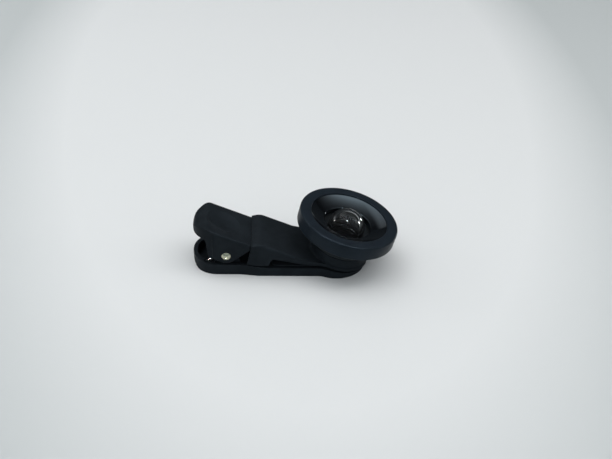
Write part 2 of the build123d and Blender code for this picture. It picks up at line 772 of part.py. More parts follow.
def make_bowl_ring():
    """The black dish between the rim and the front glass, hollow in front and conical behind."""
    outer = RIM_OPENING - FIT_GAP
    middle = (outer + BOWL_HOLE) / 2
    dish = ThreePointArc(
        (outer, bowl_line(outer)),
        (middle, bowl_line(middle) - BOWL_HOLLOW),
        (BOWL_HOLE, bowl_line(BOWL_HOLE)),
    )
    rest = Polyline(
        (BOWL_HOLE, bowl_line(BOWL_HOLE)),
        (BOWL_HOLE, bowl_line(BOWL_HOLE) - BOWL_THICKNESS),
        (outer, bowl_line(outer) - BOWL_THICKNESS),
        (outer, bowl_line(outer)),
    )
    return revolve(Plane.XZ * make_face(dish + rest), Axis.Z)


def make_front_dome():
    """The front glass: a half ball on a short neck and a flange, hollow behind."""
    low = DOME_SEAT + SEAL_HEIGHT
    top = low + DOME_FLANGE_HEIGHT
    front = quarter_arc(DOME_RADIUS, DOME_CENTRE)
    back = quarter_arc(DOME_BACK_RADIUS, DOME_BACK_CENTRE)
    rest = Polyline(
        (DOME_RADIUS, DOME_CENTRE),
        (DOME_RADIUS, top),
        (DOME_FLANGE_RADIUS, top),
        (DOME_FLANGE_RADIUS, low),
        (DOME_BACK_RADIUS, low),
        (DOME_BACK_RADIUS, DOME_BACK_CENTRE),
    )
    axis = Line((0, DOME_BACK_CENTRE + DOME_BACK_RADIUS), (0, DOME_CENTRE + DOME_RADIUS))
    return revolve(Plane.XZ * make_face(axis + front + rest + back), Axis.Z)


def make_dome_retaining_ring():
    """Thin ring that holds the front glass by its flange."""
    low = DOME_SEAT + SEAL_HEIGHT + DOME_FLANGE_HEIGHT
    return ring(DOME_BORE - THREAD_FIT, DOME_RING_INNER, low, DOME_RING_TOP)


def make_dome_seal():
    """Flat seal under the front glass."""
    return ring(DOME_BORE - GLASS_GAP, SEAL_INNER, DOME_SEAT, DOME_SEAT + SEAL_HEIGHT)


def make_aperture_stop():
    """Thin disc with the round stop."""
    return ring(MIDDLE_BORE - GLASS_GAP, STOP_HOLE, SHOULDER_TOP, SHOULDER_TOP + STOP_HEIGHT)


def make_front_spacer():
    """Spacer tube between the stop and the middle lens."""
    low = SHOULDER_TOP + STOP_HEIGHT
    return ring(MIDDLE_BORE - GLASS_GAP, SPACER_INNER, low, low + SPACER_HEIGHT)


def make_middle_lens():
    """Hollow-ground lens behind the dome."""
    low = SHOULDER_TOP + STOP_HEIGHT + SPACER_HEIGHT
    return lens_element(MIDDLE_BORE - GLASS_GAP, low, MIDDLE_LENS_EDGE, -MIDDLE_LENS_SAG, MIDDLE_LENS_SAG)


def make_middle_retaining_ring():
    """Thin ring that holds the middle lens."""
    low = SHOULDER_TOP + STOP_HEIGHT + SPACER_HEIGHT + MIDDLE_LENS_EDGE
    return ring(MIDDLE_BORE - THREAD_FIT, SPACER_INNER, low, low + MIDDLE_RING_HEIGHT)


def crown_edge_top():
    """Height of the crown lens's front edge, so that its curve seats on the shoulder."""
    radius = REAR_BORE - GLASS_GAP
    ball = (radius**2 + REAR_FRONT_SAG**2) / (2 * REAR_FRONT_SAG)
    rise = sqrt(ball**2 - SHOULDER_HOLE**2) - (ball - REAR_FRONT_SAG)
    return SHOULDER_UNDER - rise


def make_rear_crown_lens():
    """Front half of the cemented rear pair."""
    low = crown_edge_top() - REAR_LENS_EDGE
    return lens_element(REAR_BORE - GLASS_GAP, low, REAR_LENS_EDGE, REAR_FRONT_SAG, -REAR_JOINT_SAG)


def make_rear_flint_lens():
    """Rear half of the cemented rear pair."""
    low = crown_edge_top() - 2 * REAR_LENS_EDGE
    return lens_element(REAR_BORE - GLASS_GAP, low, REAR_LENS_EDGE, -REAR_JOINT_SAG, REAR_BACK_SAG)


def make_rear_retaining_ring():
    """Ring that holds the rear pair, with two spanner slots in its back."""
    high = crown_edge_top() - 2 * REAR_LENS_EDGE
    low = high - REAR_RING_HEIGHT
    outer = REAR_BORE - THREAD_FIT
    slots = Pos(0, 0, low) * Box(2 * outer + 1, RING_SLOT_WIDTH, 2 * RING_SLOT_DEPTH)
    return ring(outer, REAR_RING_INNER, low, high) - slots


def main():
    os.makedirs("parts", exist_ok=True)
    rim_centre = (RIM_RADIUS - RIM_ROUNDING) * cos(TILT) + (RIM_TOP - RIM_ROUNDING) * sin(TILT)
    right_end = LENS_SEAT_X + rim_centre + RIM_ROUNDING
    to_middle = Pos(-(right_end - LOWER_THUMB_REACH) / 2, 0, 0)
    clip = {
        "lower_arm": make_lower_arm,
        "upper_arm": make_upper_arm,
        "pivot_pin": make_pivot_pin,
        "pin_push_nut": make_pin_push_nut,
        "torsion_spring": make_torsion_spring,
        "lower_jaw_pad": make_lower_jaw_pad,
        "upper_jaw_pad": make_upper_jaw_pad,
    }
    lens = {
        "lens_barrel": make_lens_barrel,
        "rim_ring": make_rim_ring,
        "bowl_ring": make_bowl_ring,
        "front_dome": make_front_dome,
        "dome_retaining_ring": make_dome_retaining_ring,
        "dome_seal": make_dome_seal,
        "middle_retaining_ring": make_middle_retaining_ring,
        "middle_lens": make_middle_lens,
        "front_spacer": make_front_spacer,
        "aperture_stop": make_aperture_stop,
        "rear_crown_lens": make_rear_crown_lens,
        "rear_flint_lens": make_rear_flint_lens,
        "rear_retaining_ring": make_rear_retaining_ring,
    }
    print("pin x", round(to_middle.position.X, 4), "lens axis x", round(to_middle.position.X + LENS_SEAT_X, 4))
    for name, make in clip.items():
        export_step(to_middle * make(), f"parts/{name}.step")
    for name, make in lens.items():
        export_step(to_middle * IN_LENS_FRAME * make(), f"parts/{name}.step")


main()
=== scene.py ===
from math import asin, atan2, cos, pi, radians, sin, sqrt

import bmesh
import bpy
from bpy.props import FloatProperty, FloatVectorProperty, IntProperty, PointerProperty
from mathutils import Matrix, Vector


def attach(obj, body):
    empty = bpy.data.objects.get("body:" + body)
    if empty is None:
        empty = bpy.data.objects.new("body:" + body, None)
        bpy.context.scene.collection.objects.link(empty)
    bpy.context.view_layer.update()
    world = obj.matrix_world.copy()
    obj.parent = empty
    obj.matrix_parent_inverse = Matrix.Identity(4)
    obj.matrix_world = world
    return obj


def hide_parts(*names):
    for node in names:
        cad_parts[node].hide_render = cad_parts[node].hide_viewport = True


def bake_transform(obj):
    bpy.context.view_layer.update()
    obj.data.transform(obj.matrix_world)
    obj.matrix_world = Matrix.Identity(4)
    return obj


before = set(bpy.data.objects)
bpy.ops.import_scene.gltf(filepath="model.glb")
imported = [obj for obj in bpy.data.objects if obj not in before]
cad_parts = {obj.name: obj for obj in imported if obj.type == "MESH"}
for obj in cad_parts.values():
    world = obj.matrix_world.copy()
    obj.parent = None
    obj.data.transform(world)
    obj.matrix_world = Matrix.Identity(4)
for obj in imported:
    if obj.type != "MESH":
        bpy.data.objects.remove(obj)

bl_info = {
    "name": "Clip-on phone lens",
    "version": (1, 0, 0),
    "blender": (4, 5, 0),
    "location": "View3D > Sidebar > Phone lens",
    "description": "Models and finishes a clip-on phone lens round its CAD frame",
    "category": "Object",
}

MM = 0.001

# Pin and push nut, in millimetres
DIMPLE_RADIUS = 0.42
DIMPLE_DEPTH = 0.22
DIMPLE_LIP = 0.06
PIN_CHAMFER = 0.3
NUT_CLEARANCE = 0.02
NUT_LIP = 0.15
NUT_LIP_RISE = 0.2
NUT_SHOULDER = 0.22
PIN_STEPS = 72

# Spring: the wire's facets, and its tip in shares of the wire's radius
WIRE_SIDES = 14
STEPS_PER_COIL = 36
TIP_LENGTH = 0.4
TIP_NARROWING = 0.72

# Front ring: radii, and heights above the clip's closing plane, in millimetres
RING_BORE = 9.93
RING_HUB = 11
RING_HUB_LOW = 8.32
RING_LOW = 12
RING_TOP = 17.7
RING_INNER = 14.8

# Bowl, in the same measures
BOWL_RADIUS = 14.77
BOWL_HOLE = 9.15
BOWL_TOP = 17.05
BOWL_HOLE_TOP = 14.85
BOWL_MIDDLE = (11.96, 15.65)
BOWL_BACK = 15.75
BOWL_BACK_DROP = 2.2
BOWL_LIP = 0.15

# Barrel, in the same measures
FLANGE_RADIUS = 11.4
FLANGE_LOW = 5.55
FLANGE_TOP = 8.3
GROOVE_RADIUS = 11.15

# Front glass, in the same measures
DOME_RADIUS = 7.05
DOME_HOLLOW = 5.2
DOME_HOLLOW_TOP = 17.6
DOME_SPRING_LINE = 13.0
DOME_FLANGE = 8.8
DOME_FLANGE_LOW = 10.2
DOME_FLANGE_TOP = 11.0

# Rear doublet, in the same measures
DOUBLET_RADIUS = 6.55
DOUBLET_TOP = 6.0
DOUBLET_GAP = 0.132
DOUBLET_EDGE = 1.3

# The pool of light painted into the table's colour, with painted shade darkening it towards the edges: an
# ellipse in metres, where it starts to fade and where it ends
POOL_X = 0.006
POOL_Y = 0.183
POOL_HALF_WIDTH = 0.197
POOL_HALF_LENGTH = 0.432
POOL_FADE = (0.36, 0.67)
POOL_EDGE_SHADE = (0.72, 0.745, 0.745)
TABLE_HALF_SIZE = 1.6

# The softbox and the tube over the clip, in metres
SOFTBOX_LOW = Vector((-0.50, -0.25, 0.75))
SOFTBOX_HIGH = Vector((6.00, 1.20, 0.75))
SOFTBOX_STRENGTH = 3.3
TUBE_LOW = Vector((-0.50, -0.25, 0.74))
TUBE_HIGH = Vector((0.50, -0.14, 0.74))

# Each lamp's name, direction, radius in metres, plain strength and strength in a mirror
SIDE_LAMPS = (
    ("left_lamp", (-0.869, 0.262, 0.421), 0.07, 12.0, 300.0),
    ("right_lamp", (0.83, 0.54, 0.09), 0.06, 2.0, 60.0),
)

# The photograph's camera
CAMERA_AZIMUTH = radians(-4)
CAMERA_ELEVATION = radians(36.56)
CAMERA_ROLL = radians(2.8)
CAMERA_DISTANCE = 0.322
TARGET_PAST_PIN = 29.9
TARGET_HEIGHT = 14.3
FOCAL_PIXELS = 850
PHOTO_WIDTH = 612
SENSOR_WIDTH = 36

# The share seen through glass: of the lamps' extra strength in mirrors, of the softbox and of the room
LAMPS_THROUGH_GLASS = 0.06
SOFTBOX_THROUGH_GLASS = 0.12
ROOM_THROUGH_GLASS = 0.2


def length(name, description, millimetres):
    """A length's property, whose default is given in millimetres."""
    return FloatProperty(
        name=name, description=description, default=millimetres * MM, unit="LENGTH", precision=5,
    )


def slant(name, description, degrees):
    """An angle's property, whose default is given in degrees."""
    return FloatProperty(name=name, description=description, default=radians(degrees), subtype="ANGLE")


def colour(name, description, value):
    """A finish's colour property."""
    return FloatVectorProperty(
        name=name, description=description, default=value, subtype="COLOR", size=3, min=0, max=1,
    )


class PhoneLensSizes(bpy.types.PropertyGroup):
    """Sizes of the pieces modelled here, in the CAD frame."""

    pin_x: length("Pin x", "Place of the pivot pin along the clip", -25.9173)
    pin_height: length("Pin height", "Height of the pivot pin's axis", 8.7)
    pin_radius: length("Pin radius", "Radius of the pin's shank", 1.25)
    pin_seat: length("Pin seat", "Distance of the pin head's seat from the middle plane", 9.75)
    head_radius: length("Head radius", "Radius of the pin's domed head", 1.75)
    head_rise: length("Head rise", "Height of the pin's domed head", 0.8)
    nut_radius: length("Nut radius", "Radius of the push nut", 2.2)
    nut_side: length("Nut side", "Height of the push nut's straight side", 0.9)
    nut_rise: length("Nut rise", "Rise of the push nut's dome", 0.5)
    pin_tail: length("Pin tail", "How far the pin reaches into the push nut", 0.8)
    wire_radius: length("Wire radius", "Radius of the spring's wire", 0.45)
    coil_radius: length("Coil radius", "Radius of the spring's centre line", 2.4)
    coil_pitch: length("Coil pitch", "Distance between the spring's turns", 1.4)
    lower_leg: length("Lower leg", "Length of the spring's lower leg", 10.2)
    upper_leg: length("Upper leg", "Length of the spring's upper leg", 9.0)
    seat_x: length("Seat x", "Where the lens axis meets the closing plane, along the clip", 16.4827)
    seat_height: length("Seat height", "Height at which the lens axis meets the closing plane", 3.1669)
    edge_round: length("Edge rounding", "Rounding of the moulded arms' edges", 0.5)
    pad_round: length("Pad rounding", "Rounding of the rubber pads' edges", 0.18)
    rim_radius: length("Rim radius", "Outer radius of the front ring", 19.0)
    rim_round: length("Rim rounding", "Rounding of the front ring's outer edges", 0.75)
    tilt: slant("Tilt", "Lean of the lens axis from upright", 12)
    coil_start: slant("Coil start", "Angle at which the coil begins", -65.2)
    coil_end: slant("Coil end", "Angle at which the coil ends", 1847)
    turn_steps: IntProperty(
        name="Turning steps", description="Facets round the ring, bowl and barrel", default=160, min=24,
    )


class PhoneLensColours(bpy.types.PropertyGroup):
    """Colours of the finishes."""

    plastic: colour("Clip plastic", "Soft-touch black of both arms", (0.0090, 0.0115, 0.0140))
    rubber: colour("Pad rubber", "Dark grey of the jaw pads", (0.014, 0.016, 0.019))
    rim: colour("Front ring", "Satin black of the front ring", (0.0095, 0.0135, 0.0185))
    barrel: colour("Barrel", "Satin black of the barrel", (0.010, 0.012, 0.013))
    bowl: colour("Bowl", "Polished black of the bowl", (0.0025, 0.003, 0.004))
    inner: colour("Inner rings", "Dull black inside the lens", (0.004, 0.004, 0.0045))
    pin: colour("Pin", "Bright, slightly warm steel", (0.54, 0.54, 0.41))
    wire: colour("Spring", "Drawn steel wire", (0.24, 0.23, 0.20))
    front: colour("Front glass", "Slightly grey front glass", (0.84, 0.86, 0.86))
    glass: colour("Glass", "Clear glass", (0.97, 0.985, 0.98))
    floor: colour("Floor", "Pale table", (0.70, 0.72, 0.725))


# Meshes

def finish_mesh(bm, name, body, material, sharp=32):
    """A bmesh made into a piece that rides on a body."""
    bmesh.ops.remove_doubles(bm, verts=bm.verts, dist=1e-7)
    bmesh.ops.recalc_face_normals(bm, faces=bm.faces)
    for face in bm.faces:
        face.smooth = True
    for edge in bm.edges:
        edge.smooth = len(edge.link_faces) != 2 or edge.calc_face_angle() < radians(sharp)
    mesh = bpy.data.meshes.new(name)
    bm.to_mesh(mesh)
    bm.free()
    piece = bpy.data.objects.new(name, mesh)
    bpy.context.scene.collection.objects.link(piece)
    mesh.materials.append(material)
    if body:
        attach(piece, body)
    return piece


def turned_piece(bm, steps, place, rounds=()):
    """Spins the profile in bm about Z, rounds the named rims and puts it in place."""
    bmesh.ops.spin(
        bm, geom=bm.verts[:] + bm.edges[:], cent=(0, 0, 0), axis=(0, 0, 1),
        angle=2 * pi, steps=steps, use_merge=True, use_duplicate=False,
    )
    bmesh.ops.remove_doubles(bm, verts=bm.verts, dist=1e-7)
    bmesh.ops.recalc_face_normals(bm, faces=bm.faces)
    for radius, height, size, segments in rounds:
        rim = [e for e in bm.edges if all(on_rim(v, radius, height) for v in e.verts)]
        bmesh.ops.bevel(
            bm, geom=rim, offset=size, offset_type="OFFSET", segments=segments,
            profile=0.5, affect="EDGES", clamp_overlap=True, material=-1,
        )
    bmesh.ops.transform(bm, matrix=place, verts=bm.verts)


def on_rim(vert, radius, height):
    """Whether a vertex of a turned piece lies on the rim of this radius and height."""
    return abs(vert.co.xy.length - radius) < 2e-6 and abs(vert.co.z - height) < 2e-6


def profile(points):
    """A bmesh that holds a closed profile in the XZ plane, from (radius, height) points in millimetres."""
    bm = bmesh.new()
    verts = [bm.verts.new((r * MM, 0, z * MM)) for r, z in points]
    for pair in zip(verts, verts[1:] + verts[:1]):
        bm.edges.new(pair)
    return bm


def carried(bm, vert, points):
    """Carries a profile on through (radius, height) points in millimetres and gives its last vertex."""
    for r, z in points:
        following = bm.verts.new((r * MM, 0, z * MM))
        bm.edges.new((vert, following))
        vert = following
    return vert


def arc_round(bm, vert, x, z, angle, steps):
    """Carries a profile along an arc round the point (x, z), in metres, and gives its last vertex."""
    spun = bmesh.ops.spin(
        bm, geom=[vert], cent=(x, 0, z), axis=(0, 1, 0), angle=angle, steps=steps,
        use_merge=False, use_duplicate=False,
    )
    return [g for g in spun["geom_last"] if isinstance(g, bmesh.types.BMVert)][0]


def cap_arc(bm, vert, radius, sag, inwards, steps=14):
    """Carries a profile along a spherical face, from the axis to radius or back. Sizes in millimetres."""
    ball = (radius**2 + sag**2) / (2 * abs(sag))
    turn = asin(min(1.0, radius / ball))
    edge_height = vert.co.z / MM if inwards else vert.co.z / MM - sag
    centre = edge_height + sag - ball if sag > 0 else edge_height + sag + ball
    angle = turn if (sag > 0) != inwards else -turn
    return arc_round(bm, vert, 0, centre * MM, angle, steps)


def arc_through(bm, vert, middle, end, steps=28):
    """Carries a profile along the arc through two (radius, height) points in millimetres."""
    a, b, c = Vector((vert.co.x, vert.co.z)), Vector(middle) * MM, Vector(end) * MM
    double = 2 * (a.x * (b.y - c.y) + b.x * (c.y - a.y) + c.x * (a.y - b.y))
    x = (a.dot(a) * (b.y - c.y) + b.dot(b) * (c.y - a.y) + c.dot(c) * (a.y - b.y)) / double
    z = (a.dot(a) * (c.x - b.x) + b.dot(b) * (a.x - c.x) + c.dot(c) * (b.x - a.x)) / double
    angle = atan2(a.y - z, a.x - x) - atan2(c.y - z, c.x - x)
    return arc_round(bm, vert, x, z, angle, steps)


def glass_profile(radius, low, edge, front_sag, back_sag):
    """Profile of a lens with spherical faces, in millimetres."""
    bm = bmesh.new()
    vert = bm.verts.new((0, 0, (low + back_sag) * MM))
    vert = cap_arc(bm, vert, radius, back_sag, False)
    top = bm.verts.new((radius * MM, 0, (low + edge) * MM))
    bm.edges.new((vert, top))
    cap_arc(bm, top, radius, front_sag, True)
    return bm


def lens_place(sizes):
    """From the upright lens to its place on the clip."""
    return Matrix.Translation((sizes.seat_x, 0, sizes.seat_height)) @ Matrix.Rotation(sizes.tilt, 4, "Y")


def rounded_copy(node, name, body, material, size, segments=3, angle=28):
    """A merged copy of a CAD node's mesh with its sharp edges rounded, shown in its place."""
    bm = bmesh.new()
    bm.from_mesh(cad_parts[node].data)
    bmesh.ops.remove_doubles(bm, verts=bm.verts, dist=2e-6)
    bmesh.ops.dissolve_degenerate(bm, edges=bm.edges, dist=2e-6)
    bmesh.ops.dissolve_limit(bm, angle_limit=radians(0.4), verts=bm.verts, edges=bm.edges)
    piece = finish_mesh(bm, name, body, material, sharp=28)
    bevel = piece.modifiers.new("Rounded edges", "BEVEL")
    bevel.width = size
    bevel.segments = segments
    bevel.profile = 0.5
    bevel.limit_method = "ANGLE"
    bevel.angle_limit = radians(angle)
    bevel.use_clamp_overlap = True
    bevel.harden_normals = True
    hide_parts(node)


# Materials

def new_material(name):
    """An empty material with one shader."""
    material = bpy.data.materials.new(name)
    material.use_nodes = True
    tree = material.node_tree
    tree.nodes.clear()
    out = tree.nodes.new("ShaderNodeOutputMaterial")
    shader = tree.nodes.new("ShaderNodeBsdfPrincipled")
    tree.links.new(shader.outputs["BSDF"], out.inputs["Surface"])
    return material, tree, shader


def noise(tree, scale, detail=3.0, roughness=0.55, stretch=(1, 1, 1)):
    """A noise on object coordinates, whose scale is in cycles per metre."""
    coords = tree.nodes.new("ShaderNodeTexCoord")
    mapping = tree.nodes.new("ShaderNodeMapping")
    mapping.inputs["Scale"].default_value = stretch
    texture = tree.nodes.new("ShaderNodeTexNoise")
    texture.inputs["Scale"].default_value = scale
    texture.inputs["Detail"].default_value = detail
    texture.inputs["Roughness"].default_value = roughness
    tree.links.new(coords.outputs["Object"], mapping.inputs["Vector"])
    tree.links.new(mapping.outputs["Vector"], texture.inputs["Vector"])
    return texture.outputs["Fac"]


def spread(tree, value, low, high, from_low=0.35, from_high=0.65):
    """The value mapped to low to high, from a noise's middle range or from the range given."""
    node = tree.nodes.new("ShaderNodeMapRange")
    node.inputs["From Min"].default_value = from_low
    node.inputs["From Max"].default_value = from_high
    node.inputs["To Min"].default_value = low
    node.inputs["To Max"].default_value = high
    tree.links.new(value, node.inputs["Value"])
    return node.outputs["Result"]


def reckon(tree, operation, *values):
    """A sum on values that are numbers or sockets."""
    node = tree.nodes.new("ShaderNodeMath")
    node.operation = operation
    for socket, value in zip(node.inputs, values):
        if isinstance(value, bpy.types.NodeSocket):
            tree.links.new(value, socket)
        else:
            socket.default_value = value
    return node.outputs["Value"]


def through_glass(tree, share):
    """A factor that is the share for rays that come through glass, and 1 for all others."""
    rays = tree.nodes.new("ShaderNodeLightPath")
    return reckon(tree, "MULTIPLY_ADD", rays.outputs["Is Transmission Ray"], share - 1.0, 1.0)


def tinted(tree, factor, first, second):
    """A colour between two, by a factor."""
    mix = tree.nodes.new("ShaderNodeMix")
    mix.data_type = "RGBA"
    mix.inputs["A"].default_value = (*first, 1)
    mix.inputs["B"].default_value = (*second, 1)
    tree.links.new(factor, mix.inputs["Factor"])
    return mix.outputs["Result"]


def bumped(tree, shader, height, distance, strength=1.0):
    """A fine relief, whose depth is in metres."""
    bump = tree.nodes.new("ShaderNodeBump")
    bump.inputs["Strength"].default_value = strength
    bump.inputs["Distance"].default_value = distance
    tree.links.new(height, bump.inputs["Height"])
    tree.links.new(bump.outputs["Normal"], shader.inputs["Normal"])


def black_finish(name, base, rough, grain, depth, lift, specular):
    """A dark moulded or anodised surface: slight cloudiness, uneven sheen and a fine grain."""
    material, tree, shader = new_material(name)
    cloud = noise(tree, 160, 4)
    lighter = tuple(min(1, c * lift) for c in base)
    tree.links.new(tinted(tree, spread(tree, cloud, 0, 1), base, lighter), shader.inputs["Base Color"])
    sheen = noise(tree, 420, 5, 0.6)
    tree.links.new(spread(tree, sheen, rough[0], rough[1]), shader.inputs["Roughness"])
    fine = noise(tree, grain, 2, 0.5)
    bumped(tree, shader, fine, depth)
    shader.inputs["Specular IOR Level"].default_value = specular
    shader.inputs["Specular Tint"].default_value = (0.66, 0.86, 1.0, 1)
    return material


def metal_finish(name, base, rough, grain, stretch, depth):
    """Bright drawn or turned steel with fine lines."""
    material, tree, shader = new_material(name)
    lines = noise(tree, grain, 4, 0.6, stretch)
    darker = tuple(c * 0.72 for c in base)
    tree.links.new(tinted(tree, spread(tree, lines, 0, 1), darker, base), shader.inputs["Base Color"])
    tree.links.new(spread(tree, lines, rough[0], rough[1]), shader.inputs["Roughness"])
    bumped(tree, shader, lines, depth)
    shader.inputs["Metallic"].default_value = 1.0
    return material


def glowing(name):
    """An emission material, with its tree and its glow node."""
    material = bpy.data.materials.new(name)
    material.use_nodes = True
    tree = material.node_tree
    tree.nodes.clear()
    out = tree.nodes.new("ShaderNodeOutputMaterial")
    glow = tree.nodes.new("ShaderNodeEmission")
    tree.links.new(glow.outputs["Emission"], out.inputs["Surface"])
    return tree, glow


def glass_finish(name, base, index, coating, clear):
    """Clear polished glass with the faintest unevenness."""
    material, tree, shader = new_material(name)
    smear = noise(tree, 300, 3)
    tree.links.new(spread(tree, smear, 0.0, 0.012), shader.inputs["Roughness"])
    shader.inputs["Base Color"].default_value = (*base, 1)
    shader.inputs["IOR"].default_value = index
    shader.inputs["Specular Tint"].default_value = (*coating, 1)
    shader.inputs["Transmission Weight"].default_value = clear
    return material


# Pieces

class PhoneLensPiece:
    """What every piece's operator shares."""

    bl_options = {"REGISTER", "UNDO"}

    def execute(self, context):
        self.make(context.scene.phone_lens_sizes, context.scene.phone_lens_colours)
        return {"FINISHED"}


class PHONELENS_OT_arms(PhoneLensPiece, bpy.types.Operator):
    """Both moulded arms, with softened edges and a soft-touch finish"""

    bl_idname = "phone_lens.arms"
    bl_label = "Clip arms"

    def make(self, sizes, colours):
        plastic = black_finish(
            "soft_touch_plastic", colours.plastic,
            rough=(0.44, 0.56), grain=5200, depth=0.012 * MM, lift=1.35, specular=0.06,
        )
        rounded_copy("upper_arm", "upper_arm_shell", "upper", plastic, sizes.edge_round)
        rounded_copy("lower_arm", "lower_arm_shell", "lower", plastic, sizes.edge_round)


class PHONELENS_OT_pads(PhoneLensPiece, bpy.types.Operator):
    """The two rubber jaw pads"""

    bl_idname = "phone_lens.pads"
    bl_label = "Jaw pads"

    def make(self, sizes, colours):
        rubber = black_finish(
            "pad_rubber", colours.rubber,
            rough=(0.62, 0.78), grain=3600, depth=0.02 * MM, lift=1.3, specular=0.35,
        )
        rounded_copy("lower_jaw_pad", "lower_pad", "lower", rubber, sizes.pad_round)
        rounded_copy("upper_jaw_pad", "upper_pad", "upper", rubber, sizes.pad_round)


class PHONELENS_OT_pin(PhoneLensPiece, bpy.types.Operator):
    """The pivot pin with its domed head, and the push nut on its tail"""

    bl_idname = "phone_lens.pin"
    bl_label = "Pivot pin and push nut"

    def make(self, sizes, colours):
        steel = metal_finish(
            "pin_steel", colours.pin, rough=(0.16, 0.30), grain=900, stretch=(1, 0.2, 1), depth=0.003 * MM,
        )
        pin = finish_mesh(self.pin(sizes), "pin_with_head", "lower", steel)
        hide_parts("pivot_pin")
        nut = finish_mesh(self.nut(sizes), "push_nut", "lower", steel)
        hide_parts("pin_push_nut")

    def axis_place(self, sizes):
        """From an upright profile to the pin's axis, its top towards -Y."""
        return Matrix.Translation((sizes.pin_x, 0, sizes.pin_height)) @ Matrix.Rotation(radians(90), 4, "X")

    def pin(self, sizes):
        """The pin, from the dimple in its head down to its chamfered tail."""
        seat = sizes.pin_seat / MM
        rise = sizes.head_rise / MM
        head = sizes.head_radius / MM
        shank = sizes.pin_radius / MM
        dimple = DIMPLE_RADIUS
        ball = (head**2 + rise**2) / (2 * rise)
        top = seat + rise - (ball - sqrt(ball**2 - dimple**2))
        bm = bmesh.new()
        vert = bm.verts.new((0, 0, (top - DIMPLE_DEPTH) * MM))
        vert = carried(bm, vert, ((dimple * 0.7, top - DIMPLE_DEPTH + 0.02), (dimple, top)))
        angle = asin(head / ball) - asin(dimple / ball)
        vert = arc_round(bm, vert, 0, (seat + rise - ball) * MM, angle, 14)
        tail = -seat - sizes.pin_tail / MM
        carried(bm, vert, (
            (shank, seat), (shank, tail + PIN_CHAMFER), (shank - PIN_CHAMFER, tail), (0, tail),
        ))
        lip = (dimple * MM, top * MM, DIMPLE_LIP * MM, 3)
        turned_piece(bm, PIN_STEPS, self.axis_place(sizes), [lip])
        return bm

    def nut(self, sizes):
        """The domed push nut, open where the pin's tail goes in."""
        seat = sizes.pin_seat / MM
        side = sizes.nut_side / MM
        rise = sizes.nut_rise / MM
        radius = sizes.nut_radius / MM
        bore = sizes.pin_radius / MM + NUT_CLEARANCE
        depth = sizes.pin_tail / MM + NUT_CLEARANCE
        bm = bmesh.new()
        vert = bm.verts.new((0, 0, (seat + side + rise) * MM))
        ball = (radius**2 + rise**2) / (2 * rise)
        vert = arc_round(bm, vert, 0, (seat + side + rise - ball) * MM, asin(radius / ball), 12)
        carried(bm, vert, (
            (radius, seat + NUT_LIP_RISE), (radius - NUT_LIP, seat),
            (bore, seat), (bore, seat + depth), (0, seat + depth),
        ))
        turn = Matrix.Rotation(radians(180), 4, "X")
        shoulder = (radius * MM, (seat + side) * MM, NUT_SHOULDER * MM, 4)
        turned_piece(bm, PIN_STEPS, self.axis_place(sizes) @ turn, [shoulder])
        return bm


class PHONELENS_OT_spring(PhoneLensPiece, bpy.types.Operator):
    """The torsion spring: a coil round the pin with two straight legs"""

    bl_idname = "phone_lens.spring"
    bl_label = "Torsion spring"

    def make(self, sizes, colours):
        steel = metal_finish(
            "spring_wire", colours.wire, rough=(0.22, 0.36), grain=1400, stretch=(1, 1, 1), depth=0.004 * MM,
        )
        bm = bmesh.new()
        turns = (sizes.coil_end - sizes.coil_start) / (2 * pi)
        climb = sizes.coil_pitch / (2 * pi * sizes.coil_radius)
        pin = Vector((sizes.pin_x, 0, sizes.pin_height))
        first = pin + Vector((cos(sizes.coil_start), 0, sin(sizes.coil_start))) * sizes.coil_radius
        first.y = -turns * sizes.coil_pitch / 2
        along = Vector((-sin(sizes.coil_start), climb, cos(sizes.coil_start))).normalized()
        place = Matrix.Translation(first) @ along.to_track_quat("Z", "Y").to_matrix().to_4x4()
        made = bmesh.ops.create_circle(
            bm, cap_ends=False, segments=WIRE_SIDES, radius=sizes.wire_radius, matrix=place,
        )
        start_ring = made["verts"]
        start_edges = bm.edges[:]
        steps = int(turns * STEPS_PER_COIL)
        spun = bmesh.ops.spin(
            bm, geom=start_edges, cent=pin, axis=(0, -1, 0), angle=turns * 2 * pi, steps=steps,
            dvec=(0, turns * sizes.coil_pitch / steps, 0), use_merge=False, use_duplicate=False,
        )
        last_edges = [g for g in spun["geom_last"] if isinstance(g, bmesh.types.BMEdge)]
        last_along = Vector((-sin(sizes.coil_end), climb, cos(sizes.coil_end))).normalized()
        self.leg(bm, last_edges, last_along, sizes.upper_leg, sizes.wire_radius)
        start_edges = [e for e in bm.edges if all(v in start_ring for v in e.verts)]
        self.leg(bm, start_edges, -along, sizes.lower_leg, sizes.wire_radius)
        spring = finish_mesh(bm, "spring_coil", None, steel, sharp=50)
        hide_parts("torsion_spring")
        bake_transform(spring)

    def leg(self, bm, edges, along, reach, wire):
        """A straight leg from an open end of the wire, with a rounded tip."""
        half = 0.5 * reach
        tip = TIP_LENGTH * wire
        for step, narrower in ((half, 1), (half - tip, 1), (tip, TIP_NARROWING)):
            grown = bmesh.ops.extrude_edge_only(bm, edges=edges)["geom"]
            verts = [g for g in grown if isinstance(g, bmesh.types.BMVert)]
            edges = [g for g in grown if isinstance(g, bmesh.types.BMEdge)]
            edges = [e for e in edges if all(v in verts for v in e.verts)]
            bmesh.ops.translate(bm, vec=along * step, verts=verts)
            middle = sum((v.co for v in verts), Vector()) / len(verts)
            bmesh.ops.scale(bm, vec=(narrower,) * 3, space=Matrix.Translation(-middle), verts=verts)
        bmesh.ops.contextual_create(bm, geom=edges)


